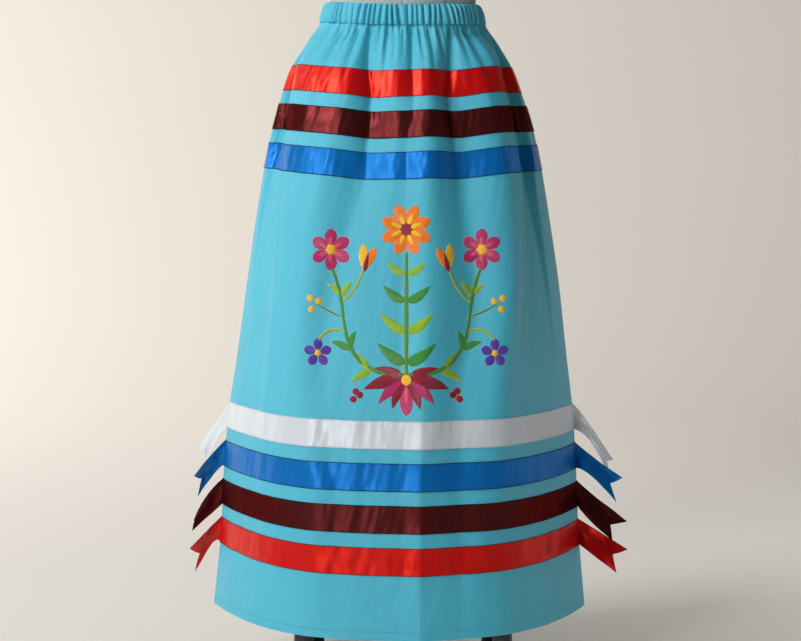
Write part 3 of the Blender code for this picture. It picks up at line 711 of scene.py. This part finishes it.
# side, ribbon, then millimetres out and down: upper middle, upper tip, notch, lower tip, lower middle,
# how far back the upper and the lower tip stand, and the cut length in metres
tails = (
    ("left", "white", (23, 34), (53, 79), (41, 81), (45, 108), (18, 57), 61, 59, 0.098),
    ("left", "blue", (24, 25), (50, 58), (39, 62), (47, 92), (18, 52), 34, 45, 0.084),
    ("left", "maroon", (25, 27), (46, 66), (45, 70), (51, 87), (20, 57), 34, 42, 0.084),
    ("left", "red", (24, 24), (51, 55), (36, 62), (45, 94), (18, 47), 38, 49, 0.082),
    ("right", "white", (26, 32), (61, 86), (51, 87), (53, 104), (28, 57), 9, 7, 0.098),
    ("right", "blue", (31, 25), (67, 48), (49, 56), (57, 82), (24, 48), -34, -36, 0.090),
    ("right", "maroon", (32, 28), (73, 58), (48, 63), (50, 84), (19, 57), -19, -21, 0.088),
    ("right", "red", (32, 19), (68, 37), (47, 45), (51, 69), (20, 49), -51, -53, 0.090),
)
tailLook = dict(rows=25, columns=28, clear=0.0002, thickness=0.00035, notch=0.011,
                # the middle stands back by a share of the tips' distance; twists and rolls are millimetres
                middleBack=0.35, notchBack=0.4, middleTwist=10, tipTwist=6, waves=0.7, roll=1.4,
                waveSpans=(0.05, 0.06), waveLength=0.09, waveHeight=0.038)

def addTail(side, colour, upperMiddle, upperTip, notch, lowerTip, lowerMiddle, upperBack, lowerBack, cut):
    look, turn = tailLook, -1 if side == "left" else 1
    top, height, _, _ = ribbonLevels["lower_" + colour]
    roots = []
    for level in (top, top - height):
        row = clothRow("front", level)[0][0 if turn < 0 else -1]
        roots.append(row + np.array((turn * look["clear"], 0, 0)))

    def place(outDown, back):
        return roots[0] + mm * np.array((turn * outDown[0], back, -outDown[1]))

    across = np.linspace(0, 1, look["rows"])[:, None, None]
    t = np.linspace(0, 1, look["columns"])[None, :, None]
    root = roots[0] * (1 - across) + roots[1] * across
    # a tail turns about its length as it falls, so one edge hangs further back than the other
    lean = 1 if lowerBack >= upperBack else -1
    twist = look["middleTwist"] * lean
    middle = (place(upperMiddle, look["middleBack"] * upperBack - twist) * (1 - across)
              + place(lowerMiddle, look["middleBack"] * lowerBack + twist) * across)
    twist = look["tipTwist"] * lean
    tips = (place(upperTip, upperBack - twist), place(notch, look["notchBack"] * (upperBack + lowerBack)),
            place(lowerTip, lowerBack + twist))
    half = np.clip(across * 2, 0, 1), np.clip(across * 2 - 1, 0, 1)
    tip = tips[0] * (1 - half[0]) + tips[1] * (half[0] - half[1]) + tips[2] * half[1]
    points = (2 * t * t - 3 * t + 1) * root + (4 * t - 4 * t * t) * middle + (2 * t * t - t) * tip
    ways = unit(np.cross(np.gradient(points, axis=1), np.gradient(points, axis=0)))
    length = np.linalg.norm(np.diff(points, axis=1), axis=2).sum(axis=1)
    t, across = np.broadcast_arrays(t[..., 0], across[..., 0])
    seed = 200 + len(colour) + 7 * turn
    curl = waves(t * look["waveLength"], across * look["waveHeight"], *look["waveSpans"], seed)
    curl = look["waves"] * curl * t + look["roll"] * np.sin(2 * pi * across) * t * (2 - t)
    points = points + ways * (curl * mm)[:, :, None]
    places = clothPlaces(t * length[:, None], across * ribbonWidth)
    mesh = gridMesh(f"{side}_{colour}_tail_satin", points, places, ways)
    piece = addPiece(mesh, satins[colour], "satin_" + colour, f"{side}_tail_{colour}", look["thickness"])

for tail in tails:
    addTail(*tail)
print("tails ready")

stitchLook = dict(length=0.0026, pitch=0.0036, radius=0.00028, flat=1.3, first=0.001,
                  # how far in from a ribbon's edge and up from the hem; and how far each line stands out
                  fromEdge=0.0011, fromHem=0.0115, casing=(0.9405, 0.0006, 0.0012),
                  ribbonOut=0.0001, hemOut=0.00005, casingOut=0.0002)

def oneStitch():
    bm = bmesh.new()
    bmesh.ops.create_uvsphere(bm, u_segments=5, v_segments=3, radius=1)
    return meshFrom(bm, "stitch")

stitchShape = oneStitch()

def repeated(name, template, count):
    # one mesh that holds a template so many times, made by doubling it
    block, whole = template.copy(), bmesh.new()
    while count:
        if count % 2:
            whole.from_mesh(block)
        double = bmesh.new()
        double.from_mesh(block)
        double.from_mesh(block)
        double.to_mesh(block)
        double.free()
        count //= 2
    return meshFrom(whole, name)

def stitchFrames(points, ways, out):
    # where each stitch of a line lies: its middle, then half its length, width and height as vectors
    look = stitchLook
    steps = np.concatenate(([0], np.cumsum(np.linalg.norm(np.diff(points, axis=0), axis=1))))
    starts = np.arange(look["first"], steps[-1] - look["length"], look["pitch"])

    def read(values, reach):
        return np.column_stack([np.interp(starts + reach, steps, values[:, axis]) for axis in range(3)])

    first, last, way = read(points, 0), read(points, look["length"]), read(ways, 0)
    half = (last - first) / 2
    along = unit(half)
    side = unit(np.cross(way, along))
    width, height = side * look["radius"] * look["flat"], np.cross(along, side) * look["radius"]
    return np.stack(((first + last) / 2 + way * out, half, width, height), axis=1)

def addStitches(name, lines, material, slot):
    frames = np.concatenate(lines)
    mesh = repeated(name, stitchShape, len(frames))
    shape = np.zeros(len(stitchShape.vertices) * 3)
    stitchShape.vertices.foreach_get("co", shape)
    shape = np.column_stack((np.ones(len(stitchShape.vertices)), shape.reshape(-1, 3)))
    mesh.vertices.foreach_set("co", np.einsum("vk,nkx->nvx", shape, frames).ravel())
    addPiece(mesh, material, slot)

def waysOutOfRing(ring):
    steps = np.roll(ring, -1, axis=0) - np.roll(ring, 1, axis=0)
    ways = unit(np.column_stack((steps[:, 1], -steps[:, 0], np.zeros(len(ring)))))
    return ways if np.sum(ways * (ring - ring.mean(axis=0))) > 0 else -ways

def addRibbonStitches():
    for (panel, name), (_, points, ways) in ribbons.items():
        lines = []
        for row, inner in ((0, 1), (-1, -2)):
            line = points[row] + unit(points[inner] - points[row]) * stitchLook["fromEdge"]
            lines.append(stitchFrames(line, ways[row], stitchLook["ribbonOut"]))
        colour = name.split("_")[1]
        addStitches(f"{panel}_{name}_stitches", lines, threads[colour], "satin_" + colour)

def addHemStitches():
    rows = [clothRow(panel, skirt["hem"] + stitchLook["fromHem"]) for panel in panelNames]
    lines = [stitchFrames(points, ways, stitchLook["hemOut"]) for points, ways, _ in rows]
    ring = bandRow(*stitchLook["casing"])
    lines.append(stitchFrames(ring, waysOutOfRing(ring), stitchLook["casingOut"]))
    addStitches("hem_and_casing_stitches", lines, threads["hem"], "cotton")

addRibbonStitches()
addHemStitches()
print("stitching ready")

# A floral spray: a middle stem with a daisy, and two arching side stems with rosettes, leaves, bells and
# berries. Places are metres from the middle and above the floor.
sprayLook = dict(left=-0.165, right=0.165, low=0.385, high=0.715, step=0.0025, margin=0.05, middle=0.0045,
                 height=0.0009, sunk=0.00006, outline=0.0007, outlineHeight=0.00012, rows=17, roundRows=9,
                 columns=9)

def frontTable():
    # the front's depth and slope over a grid of x and z, read from the finished cloth
    look = sprayLook
    acrossPlaces = np.arange(look["left"], look["right"], look["step"])
    upPlaces = np.arange(look["low"], look["high"], look["step"])
    near = [row for row in panels["front"][1]
            if look["low"] - look["margin"] < row[:, 2].mean() < look["high"] + look["margin"]]
    depths, heights = (np.array([np.interp(acrossPlaces, row[:, 0], row[:, axis]) for row in near])
                       for axis in (1, 2))
    table = np.array([np.interp(upPlaces, up[::-1], back[::-1]) for up, back in zip(heights.T, depths.T)])
    return table, np.gradient(table, look["step"], axis=0), np.gradient(table, look["step"], axis=1)

frontDepths = frontTable()

def onFront(x, z, height):
    # points on the front of the skirt, that far off its cloth, and the ways out
    place = (x - sprayLook["left"]) / sprayLook["step"], (z - sprayLook["low"]) / sprayLook["step"]
    cell = [np.clip(p.astype(int), 0, size - 2) for p, size in zip(place, frontDepths[0].shape)]
    part = [p - c for p, c in zip(place, cell)]

    def read(table):
        low = table[cell[0], cell[1]] * (1 - part[0]) + table[cell[0] + 1, cell[1]] * part[0]
        high = table[cell[0], cell[1] + 1] * (1 - part[0]) + table[cell[0] + 1, cell[1] + 1] * part[0]
        return low * (1 - part[1]) + high * part[1]

    y, slopeX, slopeZ = (read(table) for table in frontDepths)
    ways = unit(np.stack((slopeX, -np.ones_like(y), slopeZ), axis=-1))
    return np.stack((x, y, z), axis=-1) + ways * height[..., None], ways

def bend(start, middle, end, t):
    start, middle, end = (np.array(p) for p in (start, middle, end))
    t = t[:, None]
    return (1 - t) ** 2 * start + 2 * t * (1 - t) * middle + t * t * end

# how wide each shape of patch is along its length
patchShapes = dict(
    leaf=lambda t: np.sin(pi * t ** 0.75) ** 0.8,
    petal=lambda t: np.sin(pi * t ** 1.35) ** 0.6,
    stem=lambda t: 0.55 + 0.45 * np.sin(pi * (0.1 + 0.8 * t)),
    round=lambda t: np.sqrt(np.clip(1 - (2 * t - 1) ** 2, 0, 1)),
)

def patchPoints(shape, start, middle, end, width, height, turn, outline=False):
    # a domed patch of satin stitches along a bent line
    look = sprayLook
    extra = look["outline"] if outline else 0
    t = np.linspace(0, 1, look["roundRows"] if shape == "round" else look["rows"])
    spine = bend(start, middle, end, t)
    ways = unit(np.gradient(spine, axis=0))
    spine = spine + ways * (2 * t - 1)[:, None] * extra
    sides = np.column_stack((-ways[:, 1], ways[:, 0]))
    across = np.linspace(-1, 1, look["columns"])
    half = width / 2 * patchShapes[shape](t) + extra
    flat = spine[:, None, :] + sides[:, None, :] * (half[:, None] * across[None, :])[..., None]
    dome = np.sqrt(np.clip(1 - across ** 2, 0, 1)) * np.clip(half / (width / 2), 0.05, 1)[:, None] ** 0.5
    lift = (look["outlineHeight"] if outline else look["height"] * height) * dome - look["sunk"]
    points, outs = onFront(look["middle"] + turn * flat[..., 0], flat[..., 1], lift)
    length = np.linalg.norm(np.diff(spine, axis=0), axis=1).sum()
    return points, clothPlaces(t[:, None] * length, half[:, None] * across[None, :]), outs

class Spray:
    # gathers the patches of each thread colour, and an outline in pale thread below them
    def __init__(self):
        self.patches = {}

    def patch(self, colour, shape, start, middle, end, width, height=1.0, mirrored=True):
        for turn in ((1, -1) if mirrored else (1,)):
            self.patches.setdefault(colour, []).append((shape, start, middle, end, width, height, turn))

    def dot(self, x, z, radius, colour, mirrored=True, height=1.2):
        self.patch(colour, "round", (x, z - radius), (x, z), (x, z + radius), 2 * radius, height, mirrored)

    def blossom(self, x, z, petals, reach, width, colour, heart, heartColour, turned, mirrored=True,
                inner=None):
        for n in range(petals):
            turn = radians(turned) + 2 * pi * n / petals
            way = np.array((cos(turn), sin(turn)))
            start, end = np.array((x, z)) + way * heart * 0.35, np.array((x, z)) + way * reach
            self.patch(colour, "petal", start, (start + end) / 2, end, width, mirrored=mirrored)
            if inner:
                tip = start + (end - start) * 0.62
                self.patch(inner, "leaf", start, (start + end) / 2, tip, width * 0.42, 1.5, mirrored)
        self.dot(x, z, heart, heartColour, mirrored, 1.9)

    def leafPair(self, x, z, turn, size, colour, spread=0.75):
        for side in (-1, 1):
            way = turn + side * spread
            bent = way - side * 0.35
            end = (x + size * cos(way), z + size * sin(way))
            middle = (x + 0.55 * size * cos(bent), z + 0.55 * size * sin(bent))
            self.patch(colour, "leaf", (x, z), middle, end, size * 0.34)

    def finish(self):
        for colour, patches in self.patches.items():
            self.addThreads("embroidery_" + colour, colour, [patchPoints(*patch) for patch in patches])
        outlines = [patchPoints(*patch, outline=True)
                    for patches in self.patches.values() for patch in patches]
        self.addThreads("embroidery_outline", "pale", outlines)

    def addThreads(self, name, colour, grids):
        bm = bmesh.new()
        for grid in grids:
            patch = gridMesh("patch", *grid)
            bm.from_mesh(patch)
            bpy.data.meshes.remove(patch)
        addPiece(meshFrom(bm, name), threads[colour], "cotton")

def addEmbroidery():
    spray = Spray()
    # the middle stem, its leaves and the daisy on top
    spray.patch("stem", "stem", (0, 0.452), (0, 0.53), (0, 0.624), 0.0062, mirrored=False)
    for z, size, colour in ((0.474, 0.041, "stem"), (0.517, 0.037, "leaf"), (0.558, 0.033, "stem"),
                            (0.595, 0.026, "leaf")):
        spray.patch(colour, "leaf", (0.001, z), (0.016, z + 0.001), (size, z + size * 0.66), size * 0.40)
    spray.blossom(0, 0.655, 8, 0.036, 0.0178, "orange", 0.0098, "wine", 22.5, False, "sun")
    # the arching side stems
    spray.patch("stem", "stem", (0.003, 0.458), (0.078, 0.452), (0.086, 0.530), 0.0062)
    spray.patch("stem", "stem", (0.086, 0.526), (0.090, 0.575), (0.104, 0.604), 0.0054)
    spray.patch("leaf", "stem", (0.085, 0.515), (0.112, 0.522), (0.122, 0.500), 0.0036)
    spray.patch("leaf", "stem", (0.088, 0.555), (0.066, 0.572), (0.058, 0.604), 0.0036)
    spray.blossom(0.104, 0.627, 6, 0.0290, 0.0172, "rose", 0.0078, "sun", 30, inner="pink")
    spray.blossom(0.122, 0.485, 5, 0.0200, 0.0130, "plum", 0.0048, "sun", 90)
    # bells on the short twigs
    spray.patch("orange", "petal", (0.058, 0.600), (0.052, 0.612), (0.042, 0.630), 0.0130)
    spray.patch("sun", "petal", (0.058, 0.600), (0.060, 0.614), (0.059, 0.635), 0.0130)
    spray.patch("wine", "leaf", (0.058, 0.597), (0.055, 0.610), (0.0515, 0.624), 0.0075, 1.6)
    # leaves along the stems
    spray.leafPair(0.048, 0.461, 0.25, 0.031, "leaf")
    spray.leafPair(0.078, 0.489, 1.15, 0.029, "stem")
    spray.leafPair(0.089, 0.562, 1.45, 0.026, "leaf")
    # berries
    for x, z in ((0.0640, 0.4290), (0.0730, 0.4230), (0.0695, 0.4335)):
        spray.dot(x, z, 0.0050, "wine")
    for x, z in ((0.131, 0.545), (0.121, 0.556), (0.133, 0.560)):
        spray.dot(x, z, 0.0047, "sun")
    spray.patch("stem", "stem", (0.087, 0.535), (0.106, 0.540), (0.124, 0.552), 0.0026)
    # the foot of the spray: a fan of leaves over three drops
    foot = 0.450
    for turn, size, colour in ((0.30, 0.050, "wine"), (-0.22, 0.060, "wine"), (-0.70, 0.050, "rose"),
                               (-1.12, 0.044, "wine")):
        middle = (size * 0.5 * cos(turn + 0.25), foot + size * 0.5 * sin(turn + 0.25))
        end = (size * cos(turn), foot + size * sin(turn))
        spray.patch(colour, "leaf", (0.002, foot), middle, end, size * 0.33)
    spray.patch("rose", "petal", (0, 0.446), (0, 0.426), (0, 0.401), 0.0185, mirrored=False)
    spray.patch("pink", "leaf", (0, 0.442), (0, 0.426), (0, 0.413), 0.0075, 1.5, False)
    spray.dot(0, foot, 0.0078, "sun", False, 2.0)
    spray.finish()

addEmbroidery()
print("embroidery ready")

# height, half width, half depth, and how far the middle stands forward
torsoRings = np.array((
    (0.690, 0.128, 0.090, 0.000), (0.697, 0.143, 0.102, 0.000), (0.713, 0.153, 0.109, -0.001),
    (0.755, 0.162, 0.115, -0.002), (0.800, 0.163, 0.116, -0.003), (0.840, 0.154, 0.111, -0.003),
    (0.875, 0.138, 0.101, -0.002), (0.910, 0.119, 0.089, 0.000), (0.945, 0.1062, 0.0820, 0.000),
    (0.980, 0.1045, 0.0812, 0.000), (1.020, 0.1085, 0.0845, 0.002), (1.080, 0.1225, 0.0930, 0.006),
    (1.140, 0.138, 0.106, 0.011), (1.190, 0.147, 0.113, 0.012), (1.240, 0.152, 0.105, 0.009),
    (1.290, 0.161, 0.091, 0.004), (1.330, 0.171, 0.078, 0.001), (1.358, 0.169, 0.068, 0.000),
    (1.378, 0.148, 0.061, 0.000), (1.394, 0.108, 0.056, 0.000), (1.410, 0.074, 0.053, 0.001),
    (1.435, 0.057, 0.051, 0.003), (1.470, 0.053, 0.050, 0.004),
))
torsoLook = dict(columns=120, low=0.6905, high=1.470, step=0.008, groove=0.0008, seamHalf=0.7, around=0.9,
                 seams=(90, 125, 180, 235, 270, 305, 360, 55))

def addTorso():
    look, half = torsoLook, torsoLook["seamHalf"]
    even = np.arange(look["low"], look["high"], look["step"])
    heights = np.unique(np.concatenate((even, torsoRings[:, 0])))
    slopes = np.gradient(torsoRings, torsoRings[:, 0], axis=0)
    # degrees round the body, with three columns at each seam of the cover
    turns = np.linspace(0, 360, look["columns"] + 1)
    beside = [seam + step for seam in look["seams"] for step in (-half, 0, half)]
    turns = np.unique(np.round(np.concatenate((turns, np.clip(beside, 0, 360))), 3))
    fromSeam = np.min([np.abs((turns - seam + 180) % 360 - 180) for seam in look["seams"]], axis=0)
    groove = look["groove"] * np.clip(1 - fromSeam / half, 0, 1)
    points = []
    for height in heights:
        _, halfWidth, halfDepth, forward = hermite(torsoRings, slopes, height)
        x = (halfWidth - groove) * np.cos(np.radians(turns))
        y = (halfDepth - groove) * np.sin(np.radians(turns)) - forward
        points.append(np.column_stack((x, y, np.full_like(x, height))))
    points = np.array(points)
    points[:, -1] = points[:, 0]
    places = clothPlaces(turns[None, :] / 360 * look["around"], heights[:, None])
    mesh = gridMesh("torso_cover", points, places, points * (1, 1, 0), closed=True, capped=True)
    addPiece(mesh, linen, "linen", "torso")

def roundedProfile(radius, low, high, rim, steps=5):
    # from the axis below, out and round both rims, to the axis above
    turns = np.linspace(0, pi / 2, steps)
    lower = [(radius - rim + rim * sin(t), low + rim - rim * cos(t)) for t in turns]
    upper = [(radius - rim + rim * cos(t), high - rim + rim * sin(t)) for t in turns]
    return [(0, low)] + lower + upper + [(0, high)]

standLook = dict(pole=0.0125, hub=0.036, collar=0.030, leg=0.014, reach=0.197, bend=0.040, bendHeight=0.080,
                 slope=10, legs=(45, 135, 225, 315), legClear=0.0003, legEnd=0.0203, legColumns=25)
# radii and heights of the turned feet and cap
footProfile = ((0, 0), (0.0165, 0), (0.0183, 0.0006), (0.0190, 0.0022), (0.0190, 0.0075), (0.0184, 0.0082),
               (0.0184, 0.0094), (0.0189, 0.0102), (0.0188, 0.0150), (0.0180, 0.0185), (0.0160, 0.0200),
               (0.0145, 0.0200), (0, 0.0200))
capProfile = ((0, 1.4703), (0.0425, 1.4703), (0.044, 1.4718), (0.044, 1.4745), (0.0415, 1.4770),
              (0.0420, 1.4790), (0.0400, 1.4822), (0.0330, 1.4837), (0, 1.4843))

def addLeg(number, degrees):
    # a tube that leaves the hub, slopes down and bends to stand on its foot
    look = standLook
    towards = np.array((cos(radians(degrees)), sin(radians(degrees)), 0))
    turns, bent = np.linspace(pi / 2 - radians(look["slope"]), 0, 14), look["bend"]
    route = [(look["reach"] - bent + bent * cos(t), look["bendHeight"] + bent * sin(t)) for t in turns]
    start = look["hub"] + look["legClear"]
    rise = (route[0][0] - start) * tan(radians(look["slope"]))
    route = np.array([(start, route[0][1] + rise)] + route + [(look["reach"], look["legEnd"])])
    ahead = unit(np.gradient(route, axis=0))
    ahead[0] = (1, 0)
    across = np.linspace(0, 2 * pi, look["legColumns"])
    side = np.array((-towards[1], towards[0], 0))
    points = []
    for (reach, height), (out, up) in zip(route, ahead):
        normal = towards * -up + np.array((0, 0, 1)) * out
        centre = towards * reach + np.array((0, 0, height))
        circle = np.cos(across)[:, None] * side + np.sin(across)[:, None] * normal
        points.append(centre + look["leg"] * circle)
    points = np.array(points)
    outs = points - points[:, :-1].mean(axis=1)[:, None]
    places = np.zeros((*points.shape[:2], 2))
    mesh = gridMesh(f"leg_tube_{number}", points, places, outs, closed=True, capped=True)
    addPiece(mesh, powderCoat, "stand_metal", f"leg_{number}")
    foot = spunMesh(f"foot_rubber_{number}", footProfile, 40, (towards * look["reach"])[:2])
    addPiece(foot, rubber, "foot_rubber", f"foot_{number}")

def addStand():
    look = standLook
    for name, node, profile, steps in (
        ("hub_turned", "hub", roundedProfile(look["hub"], 0.112, 0.172, 0.004), 64),
        ("pole_tube", "pole", roundedProfile(look["pole"], 0.1723, 0.6594, 0.0006, 3), 48),
        ("collar_turned", "collar", roundedProfile(look["collar"], 0.6597, 0.6897, 0.003), 64),
    ):
        addPiece(spunMesh(name, profile, steps), powderCoat, "stand_metal", node)
    addPiece(spunMesh("neck_cap_turned", capProfile, 64), beech, "cap_wood", "neck_cap")
    for number, degrees in enumerate(look["legs"], start=1):
        addLeg(number, degrees)

addTorso()
addStand()
print("dress form ready")

stageLook = dict(floor=(0.80, 0.775, 0.735), roughness=0.9, mottle=0.03, flat=1.5, rim=3.0, wall=9.0,
                 height=6.0)

def addStage():
    # a floor that rises at its rim into a backdrop all round
    look = stageLook
    finish = Finish("paleBackdrop", look["floor"], look["roughness"], Specular_IOR_Level=0.15)
    mottle = finish.noise(finish.objectPlace(), 0.6, 2)
    finish.set("Base Color", finish.tone(1 + (mottle - 0.5) * look["mottle"]))
    spread = look["wall"] - look["rim"]
    profile = [(0, 0), (look["flat"], 0)] + [(look["rim"] + spread * sin(t), look["height"] * (1 - cos(t)))
                                             for t in np.linspace(0, pi / 2, 20)]
    addObject(spunMesh("backdrop", profile, 96, hollow=True), finish.material)

lights = dict(
    # place, where it points, width, height, power, colour
    key=((-2.20, -1.38, 2.55), (0, 0, 0.62), 1.4, 1.4, 74, (1, 0.985, 0.965)),
    strip=((-1.55, -3.00, 1.50), (0, 0, 0.60), 0.36, 2.4, 34, (1, 1, 1)),
    backdrop=((-4.2, 1.5, 4.2), (-2.9, 8.5, 1.7), 3.0, 3.0, 455, (1, 0.955, 0.895)),
    floor=((1.7, 0.3, 0.90), (1.7, 0.3, 0), 0.9, 0.9, 8, (1, 0.99, 0.98)),
)
worldLight = (0.085, 0.088, 0.095)

def addLights():
    for name, (place, aim, width, height, power, colour) in lights.items():
        data = bpy.data.lights.new(name, "AREA")
        data.shape, data.size, data.size_y = "ELLIPSE", width, height
        data.energy, data.color = power, colour
        lamp = bpy.data.objects.new(name, data)
        lamp.location = place
        lamp.rotation_euler = (Vector(aim) - Vector(place)).to_track_quat("-Z", "Y").to_euler()
        lamp.visible_camera = False
        scene.collection.objects.link(lamp)
    world = bpy.data.worlds.new("soft light")
    world.use_nodes = True
    world.node_tree.nodes["Background"].inputs["Color"].default_value = (*worldLight, 1)
    scene.world = world
    scene.view_settings.view_transform = "Standard"

addStage()
addLights()
print("stage ready")
